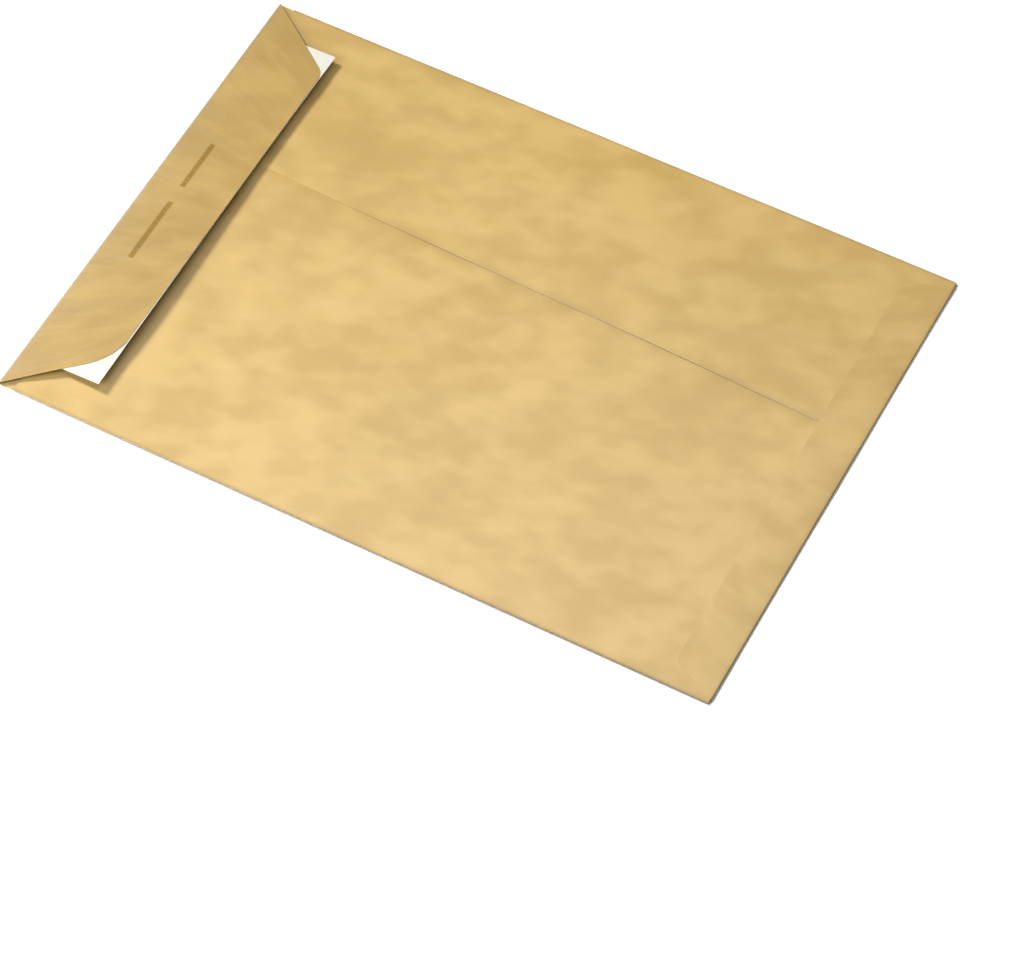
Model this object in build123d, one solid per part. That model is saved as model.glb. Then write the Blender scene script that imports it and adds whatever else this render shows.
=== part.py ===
from build123d import *

import os
from math import cos, radians, sin, tan

# A B4 pocket envelope of brown kraft paper, with an address window in its front and a peel-and-seal
# flap on its short side. It is empty and lies on its front face, so its back and its folded flap
# point upwards.
#
# X runs along the envelope, from the fold of the closure flap (-X) to the closed bottom (+X).
# Y runs across it and Z is up. The origin is the middle of the face that it lies on.
# All sizes are in millimetres and all angles in degrees.

# The folded sheet
LENGTH = 353.0
WIDTH = 250.0
PAPER = 0.12  # thickness of the kraft sheet
POCKET = 1.0  # clear height inside the flattened pocket

# Lengthwise seam in the back, where one back panel is glued over the other
SEAM_OFFSET = 93.0  # from the +Y side fold to the free edge of the outer lap
SEAM_LAP = 8.0  # how far the two back panels overlap
SEAM_STEP = 1.5  # length over which the inner lap dips under the outer one

# Mouth and closure flap
THROAT = 8.0  # from the flap's fold to the edge of the back panels
FLAP_DEPTH = 39.5  # from the fold to the flap's free edge, seen from above
FLAP_SHOULDER = 40.0  # angle between a slanted end of the flap and the long side
FLAP_CORNER_RADIUS = 39.0
FLAP_LIFT = 4.0  # the folded flap springs open by this angle

# Bottom flap, folded over the back and glued down
BOTTOM_FLAP_DEPTH = 22.0
BOTTOM_FLAP_SHOULDER = 24.0  # angle between its slanted ends and the long side
BOTTOM_FLAP_CORNER_RADIUS = 5.0
BOTTOM_FLAP_SIDE_GAP = 2.0  # from a side fold to the root of the flap

# Address window in the front panel, and the film glued behind it
WINDOW_LENGTH = 90.0
WINDOW_HEIGHT = 45.0
WINDOW_FROM_FOLD = 20.0  # from the flap's fold to the window
WINDOW_FROM_SIDE = 60.0  # from the +Y side fold to the window
WINDOW_CORNER_RADIUS = 5.0
FILM = 0.04  # thickness of the film
FILM_MARGIN = 8.0  # glued border of film around the window

# Adhesive strip under the flap, and the liner that covers it until the envelope is closed
ADHESIVE = 0.05  # thickness of the strip
ADHESIVE_WIDTH = 18.0
ADHESIVE_INSET = 2.5  # from the outline of the flap to the strip
LINER = 0.07  # thickness of the liner
LINER_WIDTH = 25.0
LINER_SIDE_GAP = 18.5  # from each side of the envelope to the liner's square end
LINER_OVERHANG = 1.5  # how far the liner stands out past the flap's free edge

# The side folds are half-round bends about the pocket.
side_bend_inner = POCKET / 2
side_bend_outer = side_bend_inner + PAPER
back_underside = PAPER + POCKET
back_top = back_underside + PAPER

# The end folds bend about the pocket and one back panel.
end_bend_inner = (back_top - PAPER) / 2
end_bend_outer = end_bend_inner + PAPER
end_bend_height = PAPER + end_bend_inner
fold_bend_x = -LENGTH / 2 + end_bend_outer
bottom_bend_x = LENGTH / 2 - end_bend_outer
mouth_x = -LENGTH / 2 + THROAT

window_x = -LENGTH / 2 + WINDOW_FROM_FOLD + WINDOW_LENGTH / 2
window_y = WIDTH / 2 - WINDOW_FROM_SIDE - WINDOW_HEIGHT / 2

# The closure flap's own plane: X from its bend to its free edge, Z away from the back.
flap_start_x = fold_bend_x - end_bend_inner * sin(radians(FLAP_LIFT))
flap_start_z = end_bend_height + end_bend_inner * cos(radians(FLAP_LIFT))
flap_plane = Plane(
    origin=(flap_start_x, 0, flap_start_z),
    x_dir=(cos(radians(FLAP_LIFT)), 0, sin(radians(FLAP_LIFT))),
    z_dir=(-sin(radians(FLAP_LIFT)), 0, cos(radians(FLAP_LIFT))),
)
flap_start_depth = flap_start_x + LENGTH / 2
flap_run = (FLAP_DEPTH - flap_start_depth) / cos(radians(FLAP_LIFT))
flap_root_width = WIDTH - 2 * flap_start_depth * tan(radians(FLAP_SHOULDER))
bottom_flap_root_width = WIDTH - 2 * BOTTOM_FLAP_SIDE_GAP
liner_length = WIDTH - 2 * LINER_SIDE_GAP


def flat_piece(x_low, x_high, width):
    """A rectangular part of the front panel, centred across the envelope."""
    return Pos(x_low, 0, 0) * Box(x_high - x_low, width, PAPER, align=(Align.MIN, Align.CENTER, Align.MIN))


def flap_outline(run, root_width, shoulder, radius):
    """Outline of a flap from its root at x = 0, narrowing at both ends, with its free corners rounded."""
    tip_width = root_width - 2 * run * tan(radians(shoulder))
    corners = [
        (0, -root_width / 2),
        (run, -tip_width / 2),
        (run, tip_width / 2),
        (0, root_width / 2),
    ]
    outline = make_face(Polyline(*corners, close=True))
    return fillet(outline.vertices().group_by(Axis.X)[-1], radius)


def bend_section(inner_radius, start, turn):
    """Section of the sheet where it bends about the origin, from the angle start through the angle turn."""
    inner = CenterArc((0, 0), inner_radius, start, turn)
    outer = CenterArc((0, 0), inner_radius + PAPER, start, turn)
    ends = Line(inner @ 0, outer @ 0) + Line(inner @ 1, outer @ 1)
    return make_face(inner + outer + ends)


def end_bend(x, start, turn, width):
    """Bend at one end of the envelope, about an axis along Y at x, as wide as the flap's root."""
    section = Plane.XZ * Pos(x, end_bend_height) * bend_section(end_bend_inner, start, turn)
    return extrude(section, amount=width / 2, both=True)


def front_panel():
    """The panel that carries the address, with its window cut out."""
    panel = flat_piece(fold_bend_x, bottom_bend_x, WIDTH - 2 * side_bend_outer)
    mouth_strip = flat_piece(fold_bend_x, mouth_x, WIDTH)
    window = Pos(window_x, window_y, 0) * extrude(
        RectangleRounded(WINDOW_LENGTH, WINDOW_HEIGHT, WINDOW_CORNER_RADIUS), amount=PAPER
    )
    return panel + mouth_strip - window


def tube_section():
    """Section across the envelope: both side folds and the two back panels with their glued lap."""
    bend_y = WIDTH / 2 - side_bend_outer
    bend_z = PAPER + side_bend_inner
    low_fold = Pos(-bend_y, bend_z) * bend_section(side_bend_inner, 90, 180)
    high_fold = Pos(bend_y, bend_z) * bend_section(side_bend_inner, -90, 180)
    outer_edge = WIDTH / 2 - SEAM_OFFSET
    inner_edge = outer_edge + SEAM_LAP
    outer_panel = make_face(
        Polyline(
            (outer_edge, back_underside),
            (bend_y, back_underside),
            (bend_y, back_top),
            (outer_edge, back_top),
            close=True,
        )
    )
    inner_panel = make_face(
        Polyline(
            (-bend_y, back_underside),
            (outer_edge - SEAM_STEP, back_underside),
            (outer_edge, back_underside - PAPER),
            (inner_edge, back_underside - PAPER),
            (inner_edge, back_underside),
            (outer_edge, back_underside),
            (outer_edge - SEAM_STEP, back_top),
            (-bend_y, back_top),
            close=True,
        )
    )
    return low_fold + high_fold + outer_panel + inner_panel


def back_panels():
    """Both side folds and both back panels, from the mouth to the bottom."""
    return extrude(Plane.YZ.offset(mouth_x) * tube_section(), amount=bottom_bend_x - mouth_x)


def closure_flap():
    """The flap over the mouth, folded back on itself and sprung open a little."""
    root = end_bend(fold_bend_x, 90 + FLAP_LIFT, 180 - FLAP_LIFT, flap_root_width)
    outline = flap_outline(flap_run, flap_root_width, FLAP_SHOULDER, FLAP_CORNER_RADIUS)
    return root + extrude(flap_plane * outline, amount=PAPER)


def bottom_flap():
    """The flap that closes the bottom, folded up over the back panels and glued on them."""
    root = end_bend(bottom_bend_x, -90, 180, bottom_flap_root_width)
    outline = flap_outline(
        BOTTOM_FLAP_DEPTH - end_bend_outer,
        bottom_flap_root_width,
        BOTTOM_FLAP_SHOULDER,
        BOTTOM_FLAP_CORNER_RADIUS,
    )
    # The outline is drawn towards +X, so it is turned about to point back along the envelope.
    flap = Pos(bottom_bend_x, 0, back_top) * Rot(0, 0, 180) * extrude(outline, amount=PAPER)
    return root + flap


def kraft_sheet():
    """The whole envelope blank, cut from one sheet and folded: its glued laps are joined."""
    return front_panel() + back_panels() + closure_flap() + bottom_flap()


def window_film():
    """The clear patch glued to the inside of the front panel, behind the window."""
    patch = Rectangle(WINDOW_LENGTH + 2 * FILM_MARGIN, WINDOW_HEIGHT + 2 * FILM_MARGIN)
    return Pos(window_x, window_y, PAPER) * extrude(patch, amount=FILM)


def adhesive_strip():
    """The strip of tacky adhesive on the inner face of the closure flap."""
    outline = flap_outline(flap_run, flap_root_width, FLAP_SHOULDER, FLAP_CORNER_RADIUS)
    band_x = flap_run + LINER_OVERHANG - LINER_WIDTH / 2
    band = Pos(band_x, 0) * Rectangle(ADHESIVE_WIDTH, flap_root_width)
    return extrude(flap_plane * (offset(outline, -ADHESIVE_INSET) & band), amount=-ADHESIVE)


def release_liner():
    """The silicone paper strip over the adhesive, cut square, so it shows past the flap's slanted ends."""
    band_x = flap_run + LINER_OVERHANG - LINER_WIDTH / 2
    band = Pos(band_x, 0, -ADHESIVE) * Rectangle(LINER_WIDTH, liner_length)
    return extrude(flap_plane * band, amount=-LINER)


nodes = {
    "kraft_sheet": kraft_sheet(),
    "window_film": window_film(),
    "adhesive_strip": adhesive_strip(),
    "release_liner": release_liner(),
}

os.makedirs("parts", exist_ok=True)
for name, node in nodes.items():
    export_step(node, f"parts/{name}.step")
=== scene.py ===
from math import cos, pi, radians, sin, sqrt, tan

import bpy
import numpy as np
from mathutils import Matrix, Vector


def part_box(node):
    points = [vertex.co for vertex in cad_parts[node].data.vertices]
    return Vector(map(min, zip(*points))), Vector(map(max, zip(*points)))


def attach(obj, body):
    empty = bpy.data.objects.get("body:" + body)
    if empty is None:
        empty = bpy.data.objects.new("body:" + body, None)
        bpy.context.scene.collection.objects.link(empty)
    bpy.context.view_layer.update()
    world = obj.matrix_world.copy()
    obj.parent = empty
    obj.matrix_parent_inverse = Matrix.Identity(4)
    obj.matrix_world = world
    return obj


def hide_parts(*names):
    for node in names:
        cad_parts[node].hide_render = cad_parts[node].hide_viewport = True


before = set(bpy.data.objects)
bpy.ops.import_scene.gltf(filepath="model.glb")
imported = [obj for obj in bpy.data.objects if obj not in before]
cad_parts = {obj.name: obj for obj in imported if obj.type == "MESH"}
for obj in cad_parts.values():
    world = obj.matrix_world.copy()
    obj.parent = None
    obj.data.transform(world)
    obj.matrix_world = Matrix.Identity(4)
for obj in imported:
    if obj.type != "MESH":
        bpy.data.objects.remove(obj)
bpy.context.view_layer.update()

# A B4 pocket envelope of brown kraft paper lies on its front face. X runs from the closure flap's fold
# to the closed bottom, Y across the envelope and Z up. Every length is in metres.
MM = 0.001

# Sizes taken from the frame
sheet_low, sheet_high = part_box("kraft_sheet")
film_low, film_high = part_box("window_film")
liner_low, liner_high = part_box("release_liner")
band_low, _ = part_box("adhesive_strip")
LENGTH = sheet_high.x - sheet_low.x
WIDTH = sheet_high.y - sheet_low.y

# Thicknesses
PAPER = 0.12 * MM
FILM = 0.04 * MM
ADHESIVE = 0.05 * MM
LINER = 0.07 * MM

# The folded pocket
SIDE_HEIGHT = 0.85 * MM  # from the front's paper to the back's at the side folds
SIDE_REACH = 0.42 * MM  # how far a side fold rounds out past its panels
END_BEND = 0.62 * MM  # radius of the closure flap's fold
BOTTOM_BEND = 0.40 * MM  # how far the bottom flap's fold rounds out past the panels
THROAT = 8 * MM  # from the closure flap's fold to the edge of the back panels
THROAT_WIDENING = 4 * MM  # length over which the front panel widens from the side folds to its cut edges
SWELL = 1.1 * MM  # how much further apart the panels of the empty pocket lie inside
SWELL_RUN = 22 * MM  # distance from a fold over which that swell builds up
MOUTH_PRESS = 0.35  # share by which the side folds are pressed flat at the mouth
BOTTOM_PRESS = 0.58  # the same at the bottom
ROLL_LENGTH, ROLL_HEIGHT = 105 * MM, 0.42 * MM  # long waves of the back
COCKLE_LENGTH, COCKLE_HEIGHT = 34 * MM, 0.035 * MM  # short ones
REST_LENGTH, REST_HEIGHT = 90 * MM, 0.07 * MM  # waves of the front on the floor
CORNER_LIFT = 0.15 * MM  # how far the front's corners lift off the floor

# The back seam
SEAM_OUTER = WIDTH / 2 - 93 * MM  # free edge of the outer lap
SEAM_INNER = SEAM_OUTER + 8 * MM  # free edge of the inner lap, under the outer one
SEAM_DIP = 5 * MM  # length over which the inner lap dips
SEAM_LIP = 0.16 * MM  # how far the outer lap's edge stands up, where the glue doesn't reach it
SEAM_LIP_RUN = 6.5 * MM  # length over which the outer lap rises to that lip
SEAM_LIP_END = 15 * MM  # distance from the bottom at which the lip is held down
SEAM_LIP_FADE = 60 * MM  # length over which it goes down to that end
SEAM_SKEW = 0.03  # how far the seam strays towards -Y for each unit of length along X
SEAM_TRUE_X = -28 * MM  # where along X it lies at its nominal place
SEAM_SHOWS_FROM = 55 * MM  # distance from the mouth at which the seam begins to show
SEAM_SHOWS_RUN = 70 * MM  # length over which it comes to show in full
SEAM_GLUE_AND_SHADE_WIDTH = 2.4 * MM  # glue and painted shade darken the paper about this far to both sides of the seam
# strength of that darkening by glue and painted shade
SEAM_GLUE_AND_SHADE_TONE = 0.32

# The closure flap
FLAP_DEPTH = 40.4 * MM
FLAP_SHOULDER_LOW = radians(40)  # angle between its slanted -Y end and the long side
FLAP_SHOULDER_HIGH = radians(37)
FLAP_CORNER_LOW = 28 * MM  # radius of its free corner at the -Y end
FLAP_CORNER_HIGH = 9 * MM  # the same at the +Y end, where it was cut less round
FLAP_BOW = 0.75 * MM  # how much deeper the flap is in its middle than at its ends
FLAP_SLOPE_START = radians(6.6)  # the flap springs open, and curls back down towards its free edge
FLAP_SLOPE_END = radians(2.6)
FLAP_LIFT = 0.45 * MM  # how far the free edge is lifted at FLAP_LIFT_Y
FLAP_LIFT_Y = -35 * MM
FLAP_LIFT_RUN = 110 * MM  # distance along the fold from FLAP_LIFT_Y to where the lift is nothing

# The bottom flap
BOTTOM_DEPTH = 22 * MM
BOTTOM_SHOULDER = radians(24)
BOTTOM_CORNER = 5 * MM
BOTTOM_SIDE_GAP = 2 * MM
BOTTOM_LIP = 0.04 * MM  # how far its free edge stands up
BOTTOM_CLOUD_SHIFT = 70 * MM  # moves the clouds in its paper along the sheet

# The address window and its film
FILM_MARGIN = 8 * MM
FILM_BULGE = 0.20 * MM  # how far the film stands off in the opening
FILM_BULGE_RUN = 6 * MM
WINDOW_CORNER = 5 * MM

# Adhesive band and liner under the closure flap
BAND_INSET = 2.5 * MM
LINER_OVERHANG_LOW = 1.2 * MM  # past the flap's free edge, at the -Y end
LINER_OVERHANG_HIGH = 0.7 * MM  # the same at the +Y end: the liner lies a little askew
LINER_DROOP = 0.35 * MM  # how far it hangs down where it stands out past the flap
LINER_DROOP_RUN = 12 * MM

# Steps of the grids
GRID_STEP = 2.9 * MM
FRONT_STEP = 2.6 * MM
FLAP_STEP = 1.6 * MM
FILM_STEP = 1.8 * MM

side_y = WIDTH / 2 - PAPER / 2 - SIDE_REACH
strip_y = WIDTH / 2 - 1.5 * PAPER  # half the width beside the mouth, where no back panel is folded
mouth_x = -LENGTH / 2 + THROAT
fold_x = -LENGTH / 2 + END_BEND + PAPER / 2
bottom_x = LENGTH / 2 - BOTTOM_BEND - PAPER / 2
window_low = film_low + Vector((FILM_MARGIN, FILM_MARGIN, 0))
window_high = film_high - Vector((FILM_MARGIN, FILM_MARGIN, 0))
flap_start = fold_x - END_BEND * sin(FLAP_SLOPE_START) + LENGTH / 2
flap_run = FLAP_DEPTH - flap_start


# ---------------------------------------------------------------- shapes of lines and surfaces


def grid_lines(stops, step=GRID_STEP):
    """Places of grid lines: a line at every stop, and even steps of about the given size between them."""
    lines = []
    for start, end in zip(stops, stops[1:]):
        parts = max(1, round((end - start) / step))
        lines.append(np.linspace(start, end, parts + 1)[:-1])
    return np.append(np.concatenate(lines), stops[-1])


def smooth_step(share):
    """3s^2 - 2s^3, held at 0 below 0 and at 1 above 1."""
    share = np.clip(share, 0, 1)
    return share * share * (3 - 2 * share)


def spot(*places):
    """Places that broadcast to one another, stacked along a last axis."""
    return np.stack(np.broadcast_arrays(*places), -1)


def waves(x, y, seed, length, height, stretch=1.0, count=9):
    """Low unevenness: the sum of plane waves of about the given length, each with a random heading and
    phase, scaled so that its usual height is the one given. Stretch draws it out along X."""
    chance = np.random.default_rng(seed)
    total = np.zeros(np.broadcast(x, y).shape)
    for heading, phase, size in zip(
        chance.uniform(0, 2 * pi, count),
        chance.uniform(0, 2 * pi, count),
        chance.uniform(0.7, 1.5, count),
    ):
        along = (x * cos(heading) / stretch + y * sin(heading)) / (length * size)
        total = total + np.sin(2 * pi * along + phase)
    return height * total * sqrt(2 / count)


def front_height(x, y):
    """Height of the middle of the front panel's paper: half a thickness, plus low waves that never go
    under the floor, plus a lift at the corners that grows with the fourth power of the distance."""
    rest = REST_HEIGHT * (1 + np.tanh(waves(x, y, 3, REST_LENGTH, 1.0)))
    reach = (np.abs(x) / (LENGTH / 2)) ** 4 * (np.abs(y) / (WIDTH / 2)) ** 4
    return PAPER / 2 + rest + CORNER_LIFT * reach


def pocket_gap(x, y):
    """Height of the back's paper above the front's: the folds' own height, and inside it a swell with
    long waves in it, which builds up as 1 - exp(-distance / run) from the side folds and the bottom. Both
    are low at the mouth, where the flap holds the panels down, and the folds are low at the bottom too."""
    from_side = np.maximum(side_y - np.abs(y), 0)
    from_bottom = np.maximum(bottom_x - x, 0)
    from_mouth = np.maximum(x - mouth_x, 0)
    inside = (1 - np.exp(-from_side / SWELL_RUN)) * (1 - np.exp(-from_bottom / SWELL_RUN))
    open_up = 0.15 + 0.85 * (1 - np.exp(-from_mouth / (1.6 * SWELL_RUN)))
    rolling = waves(x, y, 11, ROLL_LENGTH, ROLL_HEIGHT, stretch=1.5)
    cockle = waves(x, y, 23, COCKLE_LENGTH, COCKLE_HEIGHT, stretch=1.6, count=14)
    at_mouth = MOUTH_PRESS * np.exp(-from_mouth / (1.4 * SWELL_RUN))
    at_bottom = BOTTOM_PRESS * np.exp(-from_bottom / SWELL_RUN)
    return SIDE_HEIGHT * (1 - at_mouth - at_bottom) + inside * open_up * (SWELL + rolling + cockle)


def back_height(x, y):
    """Height of the middle of the back panels' paper."""
    return front_height(x, y) + pocket_gap(x, y)


def flap_half_width(run, root, depth, shoulder, corner):
    """Half the width of a flap at a distance run from its fold: the root less run * tan(shoulder), and
    in the rounded corner the circle that touches both the slanted end and the free edge."""
    tip = root - depth * tan(shoulder) - corner * tan((pi / 2 - shoulder) / 2)
    into = np.clip(run - (depth - corner), 0, corner)
    circle = tip + np.sqrt(corner**2 - into**2)
    straight = root - run * tan(shoulder)
    turn = depth - corner * (1 - sin(shoulder))
    return np.where(run < turn, straight, circle)


def closure_flap_half_width(run, y):
    """Half the width of the closure flap at a distance run from its bend, on the side that y lies on."""
    low = flap_half_width(run, strip_y, flap_run, FLAP_SHOULDER_LOW, FLAP_CORNER_LOW)
    high = flap_half_width(run, strip_y, flap_run, FLAP_SHOULDER_HIGH, FLAP_CORNER_HIGH)
    return np.where(y > 0, high, low)


def flap_rows(depth, shoulder, corner, step):
    """Distances of a flap's rows from its fold: even steps along the slanted ends, then even angles of
    the corner's circle, depth - corner * (1 - cos angle), down to the free edge."""
    turn = depth - corner * (1 - sin(shoulder))
    count = max(4, round(corner * (pi / 2 - shoulder) / step))
    angles = np.linspace(pi / 2 - shoulder, 0, count + 1)
    return np.concatenate([grid_lines([0, turn], step)[:-1], depth - corner * (1 - np.cos(angles))])


def flap_surface(run, y, offset=0.0):
    """Point of the closure flap at a distance run from its bend, and offset along its normal. Its section
    is an arc whose slope goes evenly from the start slope to the end slope. A lift is added, which grows
    evenly with the run, and along the fold goes as 1 - (distance / FLAP_LIFT_RUN)^2 from FLAP_LIFT_Y."""
    bend = (FLAP_SLOPE_END - FLAP_SLOPE_START) / flap_run
    slope = FLAP_SLOPE_START + bend * run
    share = run / flap_run
    lift = share * FLAP_LIFT * (1 - ((y - FLAP_LIFT_Y) / FLAP_LIFT_RUN) ** 2)
    x = -LENGTH / 2 + flap_start + (np.sin(slope) - sin(FLAP_SLOPE_START)) / bend
    z = flap_root_height() - (np.cos(slope) - cos(FLAP_SLOPE_START)) / bend + lift
    return spot(x - offset * np.sin(slope), y, z + offset * np.cos(slope))


def flap_root_height():
    """Height at which the closure flap leaves its bend."""
    return PAPER / 2 + END_BEND * (1 + cos(FLAP_SLOPE_START))


# ---------------------------------------------------------------- meshes

LAYER_SHIFT = 3 * MM  # sets the texture of a sheet's inner face off from that of its outer face


class Sheet:
    """The middle surface of one sheet, gathered from grids of points that share rows."""

    def __init__(self):
        self.points = []
        self.marks = []
        self.faces = []
        self.count = 0

    def add_grid(self, points, marks, first_row=None, turned=False, keep=None):
        """Adds a grid (rows, columns, 3) with its marks and its quads. It continues from first_row, the
        numbers of points that are there already. Turned faces point the other way, and keep says which
        quads stay."""
        rows, columns = points.shape[:2]
        numbers = self.count + np.arange(rows * columns).reshape(rows, columns)
        self.points.append(points.reshape(-1, 3))
        self.marks.append(marks.reshape(rows * columns, -1))
        self.count += rows * columns
        if first_row is not None:
            numbers = np.vstack([first_row, numbers])
        quads = np.stack(
            [numbers[:-1, :-1], numbers[:-1, 1:], numbers[1:, 1:], numbers[1:, :-1]], -1
        )
        if turned:
            quads = quads[..., ::-1]
        if keep is not None:
            quads = quads[keep]
        self.faces.append(quads.reshape(-1, 4))
        return numbers

    def piece(self, name, thickness, mark_names, node, material):
        """Gives the surface its thickness and makes the finished piece: both faces lie half the thickness
        along the normals from the middle, and a strip of quads closes every free edge. The free edges are
        sharp. The marks become attributes: the place on the blank, and those that are named."""
        used, faces = np.unique(np.concatenate(self.faces), return_inverse=True)
        faces = faces.reshape(-1, 4)
        points = np.concatenate(self.points)[used]
        marks = np.concatenate(self.marks)[used]
        count = len(points)
        corners = points[faces]
        face_normals = np.cross(corners[:, 2] - corners[:, 0], corners[:, 3] - corners[:, 1])
        normals = np.zeros_like(points)
        for corner in range(4):
            np.add.at(normals, faces[:, corner], face_normals)
        normals /= np.linalg.norm(normals, axis=1, keepdims=True)
        both = np.vstack([points + normals * thickness / 2, points - normals * thickness / 2])
        start, end = faces.ravel(), np.roll(faces, -1, axis=1).ravel()
        free = ~np.isin(start * count + end, end * count + start)
        start, end = start[free], end[free]
        rim = np.stack([end, start, start + count, end + count], -1)
        quads = np.vstack([faces, faces[:, ::-1] + count, rim])

        mesh = bpy.data.meshes.new(name)
        mesh.from_pydata(both.tolist(), [], quads.tolist())
        mesh.polygons.foreach_set("use_smooth", np.ones(len(quads), bool))
        total = 2 * count
        ends = np.empty(2 * len(mesh.edges), np.int64)
        mesh.edges.foreach_get("vertices", ends)
        ends = np.sort(ends.reshape(-1, 2), axis=1)
        border = np.sort(np.stack([start, end], -1), axis=1)
        border = np.vstack([border, border + count])
        is_border = np.isin(ends[:, 0] * total + ends[:, 1], border[:, 0] * total + border[:, 1])
        sharp = mesh.attributes.new("sharp_edge", "BOOLEAN", "EDGE")
        sharp.data.foreach_set("value", is_border)

        place = mesh.attributes.new("blank_place", "FLOAT_VECTOR", "POINT")
        layer = np.repeat([0.0, LAYER_SHIFT], count)
        flat = np.column_stack([np.tile(marks[:, :2], (2, 1)), layer])
        place.data.foreach_set("vector", flat.astype(np.float32).ravel())
        for column, mark in enumerate(mark_names, start=2):
            values = np.tile(marks[:, column], 2)
            attribute = mesh.attributes.new(mark, "FLOAT", "POINT")
            attribute.data.foreach_set("value", values.astype(np.float32))
        face = mesh.attributes.new("outer_face", "FLOAT", "POINT")
        face.data.foreach_set("value", np.repeat([1.0, 0.0], count).astype(np.float32))
        mesh.materials.append(material)
        mesh.update()
        made = bpy.data.objects.new(name, mesh)
        bpy.context.scene.collection.objects.link(made)
        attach(made, "root")
        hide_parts(node)
        return made


def near_side(low, high):
    """Stops close to both side folds, so that the paper's turn into a fold is drawn finely."""
    return [low + d * MM for d in (0, 0.5, 1.5, 4)], [high - d * MM for d in (4, 1.5, 0.5, 0)]


def soft_crease(distance, width=0.9 * MM):
    """Mark of a fold line: 1 on the line, fading as a bell over the width."""
    return np.exp(-((distance / width) ** 2))


def envelope_paper(material):
    """The kraft sheet: the tube of front and back panels, with the closure flap going on from the front
    panel's mouth edge and the bottom flap from its other end."""
    sheet = Sheet()
    mouth_row, bottom_row, shares, girth = add_pocket(sheet)
    add_closure_flap(sheet, mouth_row, shares, girth)
    add_bottom_flap(sheet, bottom_row, shares, girth)
    return sheet.piece("envelope_paper", PAPER, ["crease_wear_and_shade", "flap"], "kraft_sheet", material)


def add_pocket(sheet):
    """Adds the tube of front and back panels, without the window. Its columns go once around: the inner
    back panel, the -Y fold, the front, the +Y fold and the outer back panel. A fold is a half ellipse.
    The inner lap dips and the outer one rises to a lip at the seam, both as 3s^2 - 2s^3, and the seam
    strays towards -Y by skew * distance along X, which fades evenly to nothing at the side folds.
    Returns the front panel's two end rows, each column's share of the half width and its girth."""
    low_stops, high_stops = near_side(-side_y, side_y)
    seam_stops = [SEAM_OUTER - d * MM for d in (8, 5, 3.4, 1.8, 0.7, 0)]
    wide = grid_lines(low_stops + seam_stops + [SEAM_INNER])[::-1]
    lap_stops = [SEAM_OUTER + d * MM for d in (0, 0.6, 1.8, 3.2, 5, 7)]
    narrow = grid_lines(lap_stops + high_stops)[::-1]
    window_y = [window_low.y, window_low.y + WINDOW_CORNER, window_high.y - WINDOW_CORNER, window_high.y]
    front = grid_lines(low_stops + window_y + high_stops, FRONT_STEP)
    turn = np.linspace(0, pi, 8)[1:-1]

    # Columns: place across, share of the way up to the back, drop, lip, and share of the seam's skew
    fold = SIDE_REACH * np.sin(turn)
    across = np.concatenate([wide, -side_y - fold, front, side_y + fold, narrow])
    rise = np.concatenate([np.ones(len(wide)), (1 + np.cos(turn)) / 2, np.zeros(len(front)),
                           (1 - np.cos(turn)) / 2, np.ones(len(narrow))])
    dip, lip, pull = np.zeros((3, len(across)))
    dip[:len(wide)] = 1.02 * PAPER * smooth_step((wide - (SEAM_OUTER - SEAM_DIP)) / SEAM_DIP)
    lip[-len(narrow):] = SEAM_LIP * smooth_step(1 - (narrow - SEAM_OUTER) / SEAM_LIP_RUN)
    pull[:len(wide)] = (wide + side_y) / (SEAM_OUTER + side_y)
    pull[-len(narrow):] = (side_y - narrow) / (side_y - SEAM_OUTER)
    girth = np.concatenate([[0], np.cumsum(np.hypot(np.diff(across), SIDE_HEIGHT * np.diff(rise)))])

    window_x = [window_low.x, window_low.x + WINDOW_CORNER, window_high.x - WINDOW_CORNER, window_high.x]
    mouth_stops = [mouth_x, mouth_x + 1 * MM, mouth_x + 3 * MM]
    bottom_stops = [bottom_x - 3 * MM, bottom_x - 1 * MM, bottom_x]
    along = grid_lines(mouth_stops + window_x + bottom_stops)
    x, y = np.meshgrid(along, across, indexing="ij")
    y = y - pull * SEAM_SKEW * (x - SEAM_TRUE_X)
    shows = smooth_step((x - mouth_x - SEAM_SHOWS_FROM) / SEAM_SHOWS_RUN)
    loose = shows * smooth_step((bottom_x - SEAM_LIP_END - x) / SEAM_LIP_FADE)
    uneven = 0.65 + 0.35 * np.tanh(waves(x, y, 31, 70 * MM, 1.2))
    z = front_height(x, y) + rise * pocket_gap(x, y) - dip + lip * loose * uneven
    on_front = np.zeros(x.shape, bool)
    first = len(wide) + len(turn)
    on_front[:, first:first + len(front)] = True
    x, y = rounded_window(x, y, on_front)
    # Along the seam the paper is darkened: glue showing through, and painted shade beside the lap's edge.
    glue_and_shade = SEAM_GLUE_AND_SHADE_TONE * shows * soft_crease(across - SEAM_OUTER, SEAM_GLUE_AND_SHADE_WIDTH)
    # The side folds are darkened by wear and painted shade, the seam band by glue and painted shade.
    crease_wear_and_shade = soft_crease(side_y + SIDE_REACH - np.abs(y)) + glue_and_shade * ~on_front
    numbers = sheet.add_grid(spot(x, y, z), spot(x, girth, crease_wear_and_shade, 0), keep=~in_window(x, y, on_front))
    ends = numbers[[0, -1], first:first + len(front)]
    return ends[0], ends[1], front / side_y, girth[first:first + len(front)]


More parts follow.
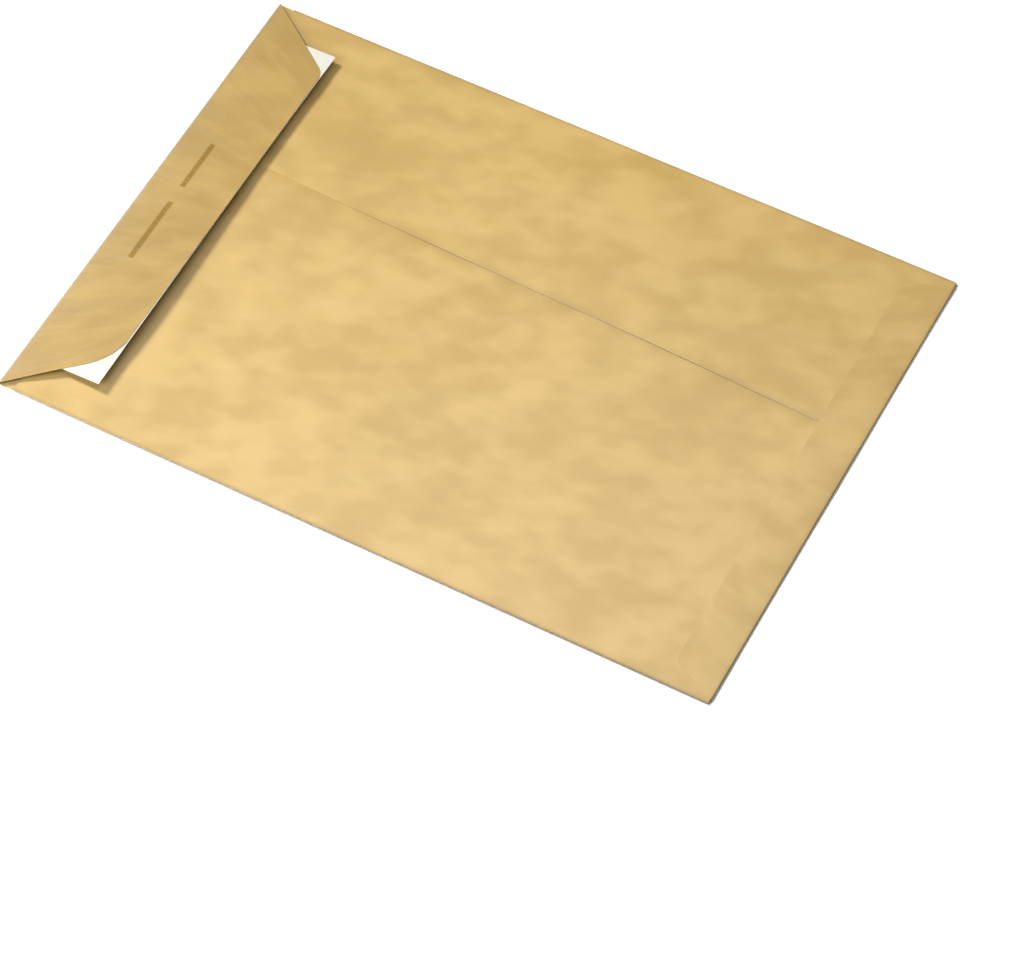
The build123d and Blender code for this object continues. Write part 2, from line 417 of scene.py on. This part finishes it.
def add_closure_flap(sheet, mouth_row, shares, girth):
    """Adds the closure flap to the front panel's mouth row: a strip beside the mouth, a half-round bend,
    and the flap, whose free edge bows out by bow * (run / depth)^2 * (1 - (y / half width)^2)."""
    strip_x = np.linspace(mouth_x, fold_x, 7)[1:, None]
    widening = smooth_step((mouth_x - strip_x) / THROAT_WIDENING)
    wide_y = shares * (side_y + (strip_y - side_y) * widening)
    strip = spot(strip_x, wide_y, front_height(strip_x, wide_y))
    angle = np.linspace(0, pi - FLAP_SLOPE_START, 9)[1:-1, None]
    fold_y = shares * strip_y
    under = front_height(fold_x, fold_y)
    centre = flap_root_height() - END_BEND * cos(FLAP_SLOPE_START)
    ease = (1 + np.cos(angle)) / 2
    bend_z = centre - END_BEND * np.cos(angle) + ease * (under - centre + END_BEND)
    bend = spot(fold_x - END_BEND * np.sin(angle), fold_y, bend_z)
    runs = flap_rows(flap_run, FLAP_SHOULDER_LOW, FLAP_CORNER_LOW, FLAP_STEP)[:, None]
    leaf = flap_surface(runs, shares * closure_flap_half_width(runs, shares))
    leaf[..., 0] += FLAP_BOW * (runs / flap_run) ** 2 * (1 - (leaf[..., 1] / side_y) ** 2)

    # Marks: the place on the blank, the crease at the fold, and the flap's painted shade, deepest near the
    # fold
    blank_x = np.concatenate([strip_x, fold_x - END_BEND * angle, fold_x - END_BEND * pi - runs])
    from_fold = np.concatenate([strip_x - fold_x, 0 * angle, runs])
    # Painted shade on the flap: the tone mark darkens its outer face, fully near the fold and a quarter less
    # at the free edge.
    tone = np.concatenate([0 * strip_x, smooth_step(angle / pi), 1 - 0.25 * runs / flap_run])
    marks = spot(blank_x, girth, soft_crease(from_fold), tone)
    sheet.add_grid(np.concatenate([strip, bend, leaf]), marks, first_row=mouth_row, turned=True)


def add_bottom_flap(sheet, bottom_row, shares, girth):
    """Adds the bottom flap to the front panel's bottom row: a bend around the end of the pocket, whose
    height goes as (1 - cos angle) / 2, and the flap lying on the back."""
    angle = np.linspace(0, pi, 9)[1:, None]
    root = side_y - BOTTOM_SIDE_GAP
    bend_y = shares * (side_y - BOTTOM_SIDE_GAP * smooth_step(1.5 * angle / pi))
    below = front_height(bottom_x, shares * side_y)
    above = back_height(bottom_x, bend_y) + PAPER
    bend_z = below + (above - below) * (1 - np.cos(angle)) / 2
    bend = spot(bottom_x + BOTTOM_BEND * np.sin(angle), bend_y, bend_z)
    depth = BOTTOM_DEPTH - BOTTOM_BEND - PAPER / 2
    runs = flap_rows(depth, BOTTOM_SHOULDER, BOTTOM_CORNER, FLAP_STEP)[1:, None]
    leaf_x = bottom_x - runs
    leaf_y = shares * flap_half_width(runs, root, depth, BOTTOM_SHOULDER, BOTTOM_CORNER)
    free = BOTTOM_LIP * smooth_step((runs - depth + 4 * MM) / (4 * MM))
    leaf = spot(leaf_x, leaf_y, back_height(leaf_x, leaf_y) + PAPER + free)

    # Marks: the clouds are shifted along the sheet, so that the flap hardly stands out against the back
    steps = np.concatenate([BOTTOM_BEND * angle, BOTTOM_BEND * pi + runs])
    blank_x = bottom_x + BOTTOM_CLOUD_SHIFT + steps
    from_fold = np.concatenate([0 * angle, runs])
    # The bottom fold gets a quarter of the crease's wear and painted shade.
    marks = spot(blank_x, girth, 0.25 * soft_crease(from_fold), 0)
    sheet.add_grid(np.concatenate([bend, leaf]), marks, first_row=bottom_row)


def rounded_window(x, y, on_front):
    """Moves the grid's points on the window's border near its corners onto the corners' arcs: a point at a
    distance t from the corner, along either side, goes to the angle 45 * (1 - t / radius) degrees from the
    side's end of the arc."""
    x, y = x.copy(), y.copy()
    tiny = 1e-9
    for corner_x, inward_x in ((window_low.x, 1), (window_high.x, -1)):
        for corner_y, inward_y in ((window_low.y, 1), (window_high.y, -1)):
            far_x = (x - corner_x) * inward_x
            far_y = (y - corner_y) * inward_y
            on_end = on_front & (np.abs(far_x) < tiny) & (far_y > -tiny) & (far_y < WINDOW_CORNER)
            on_side = on_front & (np.abs(far_y) < tiny) & (far_x > tiny) & (far_x < WINDOW_CORNER)
            for moved, distance, at_end in ((on_end, far_y[on_end], True), (on_side, far_x[on_side], False)):
                angle = pi / 4 * (1 - distance / WINDOW_CORNER)
                near, side = WINDOW_CORNER * (1 - np.cos(angle)), WINDOW_CORNER * (1 - np.sin(angle))
                x[moved] = corner_x + inward_x * (near if at_end else side)
                y[moved] = corner_y + inward_y * (side if at_end else near)
    return x, y


def in_window(x, y, on_front):
    """Which quads of the grid lie in the window: those whose middle does."""
    middle_x = (x[:-1, :-1] + x[1:, 1:]) / 2
    middle_y = (y[:-1, :-1] + y[1:, 1:]) / 2
    inside_x = (middle_x > window_low.x) & (middle_x < window_high.x)
    inside_y = (middle_y > window_low.y) & (middle_y < window_high.y)
    return inside_x & inside_y & on_front[:-1, :-1]


def window_pane(material):
    """The clear film behind the window: flat where it is glued to the front panel. In the opening it bulges
    and is slightly crinkled, both growing as 3s^2 - 2s^3 over the first 6 mm from the opening's edge."""
    sheet = Sheet()
    along = grid_lines([film_low.x, window_low.x, window_high.x, film_high.x], FILM_STEP)
    across = grid_lines([film_low.y, window_low.y, window_high.y, film_high.y], FILM_STEP)
    x, y = np.meshgrid(along, across, indexing="ij")
    inside = np.minimum(np.minimum(x - window_low.x, window_high.x - x),
                        np.minimum(y - window_low.y, window_high.y - y))
    free = smooth_step(inside / FILM_BULGE_RUN)
    crinkle = waves(x, y, 41, 26 * MM, 0.09 * MM) + waves(x, y, 43, 9 * MM, 0.014 * MM)
    z = front_height(x, y) + (PAPER + FILM) / 2 + free * (FILM_BULGE + crinkle)
    sheet.add_grid(spot(x, y, z), spot(x, y), turned=True)
    return sheet.piece("window_pane", FILM, [], "window_film", material)


def adhesive_band(material):
    """The tacky band under the closure flap: rows along the fold, each as wide as the flap less an inset."""
    sheet = Sheet()
    start = band_low.x + LENGTH / 2 - flap_start
    runs = np.linspace(start, flap_run - BAND_INSET, 9)[:, None]
    y = np.linspace(-1, 1, 80)
    y = y * (closure_flap_half_width(runs, y) - 1.3 * BAND_INSET)
    points = flap_surface(runs, y, -(PAPER + ADHESIVE) / 2)
    sheet.add_grid(points, points[..., :2], turned=True)
    return sheet.piece("adhesive_band", ADHESIVE, [], "adhesive_strip", material)


def liner_strip(material):
    """The liner on the adhesive band: cut square, a little askew under the flap, and drooping where it
    stands out past the flap's slanted ends."""
    sheet = Sheet()
    y = grid_lines([liner_low.y, liner_high.y])[None, :]
    share = (y - liner_low.y) / (liner_high.y - liner_low.y)
    end = flap_run + LINER_OVERHANG_LOW + (LINER_OVERHANG_HIGH - LINER_OVERHANG_LOW) * share
    runs = end - (liner_high.x - liner_low.x) * np.linspace(1, 0, 15)[:, None]
    half = closure_flap_half_width(np.minimum(runs, flap_run), y)
    outside = np.maximum(np.abs(y) - half, 0) + np.maximum(runs - flap_run, 0)
    points = flap_surface(runs, np.broadcast_to(y, runs.shape), -PAPER / 2 - ADHESIVE - LINER / 2)
    points[..., 2] -= LINER_DROOP * smooth_step(outside / LINER_DROOP_RUN)
    sheet.add_grid(points, points[..., :2], turned=True)
    return sheet.piece("liner_strip", LINER, [], "release_liner", material)


# ---------------------------------------------------------------- materials


def add_node(tree, kind, inputs=None, **settings):
    """Adds a node to the tree. Each input is a constant, or a socket that is linked to it."""
    node = tree.nodes.new(kind)
    for name, value in settings.items():
        setattr(node, name, value)
    for name, value in (inputs or {}).items():
        if isinstance(value, bpy.types.NodeSocket):
            tree.links.new(value, node.inputs[name])
        else:
            node.inputs[name].default_value = value
    return node


def calculate(tree, operation, first, second=0.0, third=0.0):
    """Output of a Math node."""
    return add_node(tree, "ShaderNodeMath", {0: first, 1: second, 2: third}, operation=operation).outputs[0]


def mix_colour(tree, factor, first, second, blend="MIX"):
    """Output of a Mix node for colours."""
    node = add_node(tree, "ShaderNodeMix", data_type="RGBA", blend_type=blend)
    for socket, value in (("Factor_Float", factor), ("A_Color", first), ("B_Color", second)):
        target = next(s for s in node.inputs if s.identifier == socket)
        if isinstance(value, bpy.types.NodeSocket):
            tree.links.new(value, target)
        else:
            target.default_value = value
    return next(s for s in node.outputs if s.identifier == "Result_Color")


def noise(tree, place, size, detail=2.0, roughness=0.5, stretch=(1, 1, 1), angle=0.0):
    """Noise whose features are about the given size, drawn out by stretch and turned by angle."""
    turned = add_node(tree, "ShaderNodeMapping", {
        "Vector": place,
        "Rotation": (0, 0, angle),
    }, vector_type="TEXTURE").outputs[0]
    scale = tuple(1 / (size * s) for s in stretch)
    scaled = add_node(tree, "ShaderNodeMapping", {"Vector": turned, "Scale": scale}).outputs[0]
    return add_node(tree, "ShaderNodeTexNoise", {
        "Vector": scaled, "Scale": 1.0, "Detail": detail, "Roughness": roughness,
    }).outputs["Fac"]


def spread(tree, value, low, high, to_low=0.0, to_high=1.0):
    """Map Range from low..high to to_low..to_high, held at both ends and smoothed."""
    return add_node(tree, "ShaderNodeMapRange", {
        "Value": value, "From Min": low, "From Max": high, "To Min": to_low, "To Max": to_high,
    }, interpolation_type="SMOOTHSTEP").outputs[0]


def paper_texture():
    """Node group for any paper: the cloudy formation that shows against the light, streaks along the
    machine direction, and short crossing fibres. It puts out a tone around 1, a mask of darker fibre
    flecks and the height of the surface."""
    group = bpy.data.node_groups.new("paper_texture", "ShaderNodeTree")
    face = group.interface
    face.new_socket("Place", in_out="INPUT", socket_type="NodeSocketVector")
    for name, value in (("Clouds", 0.05), ("Streaks", 0.02), ("Fibres", 0.03)):
        face.new_socket(name, in_out="INPUT", socket_type="NodeSocketFloat").default_value = value
    for name in ("Tone", "Cloud Mask", "Flecks", "Height"):
        face.new_socket(name, in_out="OUTPUT", socket_type="NodeSocketFloat")
    given = group.nodes.new("NodeGroupInput")
    place = given.outputs["Place"]
    clouds = noise(group, place, 44 * MM, 2.5, 0.6, stretch=(1.7, 1, 1), angle=radians(-20))
    blots = noise(group, place, 12 * MM, 1.5, 0.5, stretch=(1.5, 1, 1), angle=radians(-16))
    streaks = noise(group, place, 3.2 * MM, 2.0, 0.6, stretch=(36, 1, 1))
    lengthwise = noise(group, place, 0.55 * MM, 3.0, 0.6, stretch=(4.0, 1, 1), angle=radians(7))
    crossing = noise(group, place, 0.5 * MM, 3.0, 0.6, stretch=(3.2, 1, 1), angle=radians(62))
    mixed = calculate(group, "MULTIPLY_ADD", blots, 0.42, calculate(group, "MULTIPLY", clouds, 0.58))
    cloud_mask = spread(group, mixed, 0.36, 0.64)
    fibre = calculate(group, "MULTIPLY", calculate(group, "ADD", lengthwise, crossing), 0.5)
    flecks = spread(group, calculate(group, "MINIMUM", lengthwise, crossing), 0.56, 0.66)
    tone = 1.0
    for value, strength in ((cloud_mask, "Clouds"), (streaks, "Streaks"), (fibre, "Fibres")):
        centred = calculate(group, "MULTIPLY_ADD", value, 2.0, -1.0)
        tone = calculate(group, "MULTIPLY_ADD", centred, given.outputs[strength], tone)
    ridges = calculate(group, "MULTIPLY", streaks, 0.35)
    height = calculate(group, "MULTIPLY_ADD", fibre, 0.65, ridges)
    result = group.nodes.new("NodeGroupOutput")
    for name, value in (("Tone", tone), ("Cloud Mask", cloud_mask), ("Flecks", flecks), ("Height", height)):
        group.links.new(value, result.inputs[name])
    return group


def new_material(name):
    """An empty node material with its shader: the node tree and the Principled BSDF."""
    material = bpy.data.materials.new(name)
    material.use_nodes = True
    tree = material.node_tree
    tree.nodes.clear()
    shader = tree.nodes.new("ShaderNodeBsdfPrincipled")
    surface = tree.nodes.new("ShaderNodeOutputMaterial")
    tree.links.new(shader.outputs[0], surface.inputs["Surface"])
    return material, tree, shader


def times_tone(tree, colour, tone):
    """A colour multiplied by a tone around 1."""
    grey = add_node(tree, "ShaderNodeCombineColor", {name: tone for name in ("Red", "Green", "Blue")})
    return mix_colour(tree, 1.0, colour, grey.outputs[0], "MULTIPLY")


def read_mark(tree, name, output="Fac"):
    """Output of an Attribute node for one of a piece's marks."""
    return add_node(tree, "ShaderNodeAttribute", attribute_name=name).outputs[output]


def set_shader(tree, shader, colour, roughness, height, bump, **constants):
    """Links the changing inputs of a shader and sets its constant ones. Bump is the height's depth."""
    tree.links.new(colour, shader.inputs["Base Color"])
    tree.links.new(roughness, shader.inputs["Roughness"])
    relief = add_node(tree, "ShaderNodeBump", {"Height": height, "Distance": bump, "Strength": 1.0})
    tree.links.new(relief.outputs[0], shader.inputs["Normal"])
    for name, value in constants.items():
        shader.inputs[name].default_value = value


KRAFT_PALE = (0.531, 0.361, 0.120, 1)
KRAFT_DEEP = (0.470, 0.306, 0.087, 1)
KRAFT_FLECK = (0.365, 0.225, 0.077, 1)
# painted shade: makes the flap's outer face darker than the back, where the key light would show it brighter
KRAFT_FLAP_PAINTED_SHADE = (0.68, 0.635, 0.39, 1)
# wear and painted shade on the fold lines, and glue and painted shade along the seam
KRAFT_CREASE_WEAR_AND_SHADE = (0.23, 0.162, 0.085, 1)
PRINT_INK = (0.59, 0.53, 0.13, 1)
LINER_PALE = (0.67, 0.655, 0.585, 1)
LINER_DEEP = (0.62, 0.605, 0.53, 1)

# Two plain printed bars on the closure flap, in line along its fold
PRINT_DEPTH = 16.6 * MM
PRINT_WIDTH = 2.7 * MM
PRINT_SOFT = 0.45 * MM  # half the width of a bar's soft edge
PRINT_BARS = ((7 * MM, 35 * MM), (-39 * MM, -3 * MM))


def kraft_paper(texture):
    """Brown machine-glazed kraft: a pale and a deeper brown in clouds, streaks and fibre flecks, fold lines
    darkened by wear and painted shade, a band along the seam darkened by glue and painted shade, painted
    shade on the flap's outer face, and the printed bars there, which are less glossy."""
    material, tree, shader = new_material("kraft_paper")
    place = read_mark(tree, "blank_place", "Vector")
    group = add_node(tree, "ShaderNodeGroup", node_tree=texture)
    tree.links.new(place, group.inputs["Place"])
    group.inputs["Clouds"].default_value = 0.035
    group.inputs["Streaks"].default_value = 0.018
    group.inputs["Fibres"].default_value = 0.065
    colour = mix_colour(tree, group.outputs["Cloud Mask"], KRAFT_DEEP, KRAFT_PALE)
    flecks = calculate(tree, "MULTIPLY", group.outputs["Flecks"], 0.30)
    colour = mix_colour(tree, flecks, colour, KRAFT_FLECK)
    colour = times_tone(tree, colour, group.outputs["Tone"])
    fine = noise(tree, place, 1.4 * MM, 2.0)
    # Darkening of fold lines and seam: wear, glue and painted shade, broken up by fine noise.
    wear_and_shade = spread(tree, fine, 0.35, 0.75, 0.45, 0.95)
    wear_and_shade = calculate(tree, "MULTIPLY", read_mark(tree, "crease_wear_and_shade"), wear_and_shade)
    colour = mix_colour(tree, wear_and_shade, colour, KRAFT_CREASE_WEAR_AND_SHADE)
    # Painted shade on the flap's outer face; the same mask also scales the printed bars.
    flap = calculate(tree, "MULTIPLY", read_mark(tree, "flap"), read_mark(tree, "outer_face"))
    colour = mix_colour(tree, flap, colour, KRAFT_FLAP_PAINTED_SHADE, "MULTIPLY")
    ink = calculate(tree, "MULTIPLY", print_mask(tree), flap)
    ink = calculate(tree, "MULTIPLY", ink, spread(tree, fine, 0.25, 0.55, 0.70, 1.0))
    colour = mix_colour(tree, ink, colour, PRINT_INK, "MULTIPLY")
    roughness = spread(tree, group.outputs["Height"], 0.3, 0.7, 0.41, 0.32)
    set_shader(tree, shader, colour, roughness, group.outputs["Height"], 0.05 * MM)
    gloss = calculate(tree, "MULTIPLY_ADD", ink, -0.6, 1.0)
    tree.links.new(gloss, shader.inputs["Specular IOR Level"])
    return material


def print_mask(tree):
    """Mask of the printed bars: 1 where the place lies inside a bar."""
    place = add_node(tree, "ShaderNodeSeparateXYZ", {
        0: add_node(tree, "ShaderNodeTexCoord").outputs["Object"],
    })
    middle_x = -LENGTH / 2 + PRINT_DEPTH
    on_line = inside_of(tree, place.outputs["X"], middle_x, PRINT_WIDTH / 2)
    total = 0.0
    for low, high in PRINT_BARS:
        inside = inside_of(tree, place.outputs["Y"], (low + high) / 2, (high - low) / 2)
        total = calculate(tree, "ADD", inside, total)
    return calculate(tree, "MULTIPLY", on_line, total)


def inside_of(tree, value, middle, half):
    """Mask that is 1 where a value is within half of the middle, with a soft edge."""
    distance = calculate(tree, "ABSOLUTE", calculate(tree, "SUBTRACT", value, middle))
    return spread(tree, distance, half - PRINT_SOFT, half + PRINT_SOFT, 1.0, 0.0)


def liner_paper(texture):
    """White silicone-coated paper: faint clouds and fibres under a smooth coat."""
    material, tree, shader = new_material("liner_paper")
    group = add_node(tree, "ShaderNodeGroup", node_tree=texture)
    tree.links.new(read_mark(tree, "blank_place", "Vector"), group.inputs["Place"])
    group.inputs["Clouds"].default_value = 0.012
    group.inputs["Streaks"].default_value = 0.006
    group.inputs["Fibres"].default_value = 0.02
    colour = mix_colour(tree, group.outputs["Cloud Mask"], LINER_DEEP, LINER_PALE)
    colour = times_tone(tree, colour, group.outputs["Tone"])
    roughness = spread(tree, group.outputs["Height"], 0.3, 0.7, 0.42, 0.34)
    set_shader(tree, shader, colour, roughness, group.outputs["Height"], 0.012 * MM,
               **{"Specular IOR Level": 0.5})
    return material


def tacky_adhesive():
    """Cream hot-melt adhesive: a slightly lumpy, half-gloss film with thicker and thinner places."""
    material, tree, shader = new_material("tacky_adhesive")
    place = read_mark(tree, "blank_place", "Vector")
    lumps = noise(tree, place, 2.5 * MM, 3.0)
    colour = mix_colour(tree, spread(tree, lumps, 0.3, 0.7), (0.62, 0.50, 0.27, 1), (0.80, 0.70, 0.46, 1))
    roughness = spread(tree, noise(tree, place, 6 * MM), 0.3, 0.7, 0.22, 0.40)
    set_shader(tree, shader, colour, roughness, lumps, 0.06 * MM, **{"Specular IOR Level": 0.5})
    return material


def clear_film():
    """Thin clear polystyrene film: mostly see-through, glossy, with a faint haze and fine crinkles."""
    material, tree, shader = new_material("clear_film")
    place = read_mark(tree, "blank_place", "Vector")
    haze = noise(tree, place, 14 * MM, 3.0)
    colour = mix_colour(tree, spread(tree, haze, 0.3, 0.7), (0.84, 0.85, 0.85, 1), (0.94, 0.95, 0.96, 1))
    roughness = spread(tree, haze, 0.3, 0.7, 0.10, 0.17)
    crinkle = noise(tree, place, 3.5 * MM, 2.0, stretch=(3, 1, 1), angle=radians(25))
    set_shader(tree, shader, colour, roughness, crinkle, 0.02 * MM,
               **{"Specular IOR Level": 0.5, "Alpha": 0.16})
    return material


def white_floor():
    """Plain pale floor with the faintest unevenness of tone."""
    material, tree, shader = new_material("white_floor")
    place = add_node(tree, "ShaderNodeTexCoord").outputs["Object"]
    tint = mix_colour(tree, noise(tree, place, 300 * MM), (0.95, 0.95, 0.95, 1), (0.97, 0.97, 0.97, 1))
    tree.links.new(tint, shader.inputs["Base Color"])
    shader.inputs["Roughness"].default_value = 0.9
    shader.inputs["Specular IOR Level"].default_value = 0.1
    return material


# ---------------------------------------------------------------- floor, lights and camera


def placed_facing(place, aim, roll=0.0):
    """Matrix of a lamp or camera at a place, looking at aim along its -Z, turned by roll about that line."""
    place, aim = Vector(place), Vector(aim)
    turned = (aim - place).to_track_quat("-Z", "Y").to_matrix().to_4x4()
    return Matrix.Translation(place) @ turned @ Matrix.Rotation(roll, 4, "Z")


def add_floor():
    """A plain floor just under the envelope: one face of 12 x 12 m."""
    half, drop = 6.0, 0.03 * MM
    mesh = bpy.data.meshes.new("floor")
    corners = [(-half, -half, -drop), (half, -half, -drop), (half, half, -drop), (-half, half, -drop)]
    mesh.from_pydata(corners, [], [(0, 1, 2, 3)])
    mesh.materials.append(white_floor())
    floor = bpy.data.objects.new("floor", mesh)
    bpy.context.scene.collection.objects.link(floor)


def add_lamp(name, kind, place, aim, power, **settings):
    """A lamp at a place, facing aim."""
    lamp = bpy.data.lights.new(name, kind)
    lamp.energy = power
    for setting, value in settings.items():
        setattr(lamp, setting, value)
    stand = bpy.data.objects.new(name, lamp)
    stand.matrix_world = placed_facing(place, aim)
    bpy.context.scene.collection.objects.link(stand)


def light_the_table():
    """Plain studio light: a soft, far key light from beyond the flap, low enough to throw the flap's
    shadow; a broad fill from the near side; a weak, low light on the faces turned away from the key; a
    softbox opposite the camera, whose reflection makes the near half of the paper paler; and a white
    room."""
    add_lamp("key", "SUN", (-0.84, 0.26, 0.476), (0, 0, 0), 5.4, angle=radians(12))
    add_lamp("fill", "AREA", (-0.45, -0.54, 0.33), (-0.05, -0.05, 0), 4.4, shape="SQUARE", size=0.4)
    add_lamp("bounce", "SUN", (0.93, -0.28, 0.22), (0, 0, 0), 0.45, angle=radians(30))
    add_lamp("gloss", "AREA", (-0.04, 0.11, 0.55), (0.05, -0.05, 0), 1.15,
             shape="RECTANGLE", size=0.55, size_y=0.44)
    world = bpy.data.worlds.new("white_room")
    world.use_nodes = True
    background = world.node_tree.nodes["Background"]
    background.inputs["Color"].default_value = (1.0, 0.99, 0.97, 1)
    background.inputs["Strength"].default_value = 0.05
    bpy.context.scene.world = world
    bpy.context.scene.view_settings.view_transform = "Standard"


CAMERA_ELEVATION = radians(56.0)
CAMERA_AZIMUTH = radians(28.8)
CAMERA_DISTANCE = 1.740
CAMERA_AIM = Vector((0.0500, -0.0642, 0.0))
CAMERA_ROLL = radians(-0.7)
CAMERA_LENS = 140.2


def add_camera():
    """The camera stands over the envelope's -Y side, a little towards its bottom end, and looks down."""
    towards = Vector((cos(CAMERA_ELEVATION) * sin(CAMERA_AZIMUTH),
                      -cos(CAMERA_ELEVATION) * cos(CAMERA_AZIMUTH),
                      sin(CAMERA_ELEVATION)))
    camera = bpy.data.cameras.new("camera")
    camera.lens = CAMERA_LENS
    camera.sensor_width = 36
    camera.clip_start = 0.01
    stand = bpy.data.objects.new("camera", camera)
    stand.matrix_world = placed_facing(CAMERA_AIM + CAMERA_DISTANCE * towards, CAMERA_AIM, CAMERA_ROLL)
    bpy.context.scene.collection.objects.link(stand)
    bpy.context.scene.camera = stand


texture = paper_texture()
envelope_paper(kraft_paper(texture))
window_pane(clear_film())
adhesive_band(tacky_adhesive())
liner_strip(liner_paper(texture))
add_floor()
light_the_table()
add_camera()
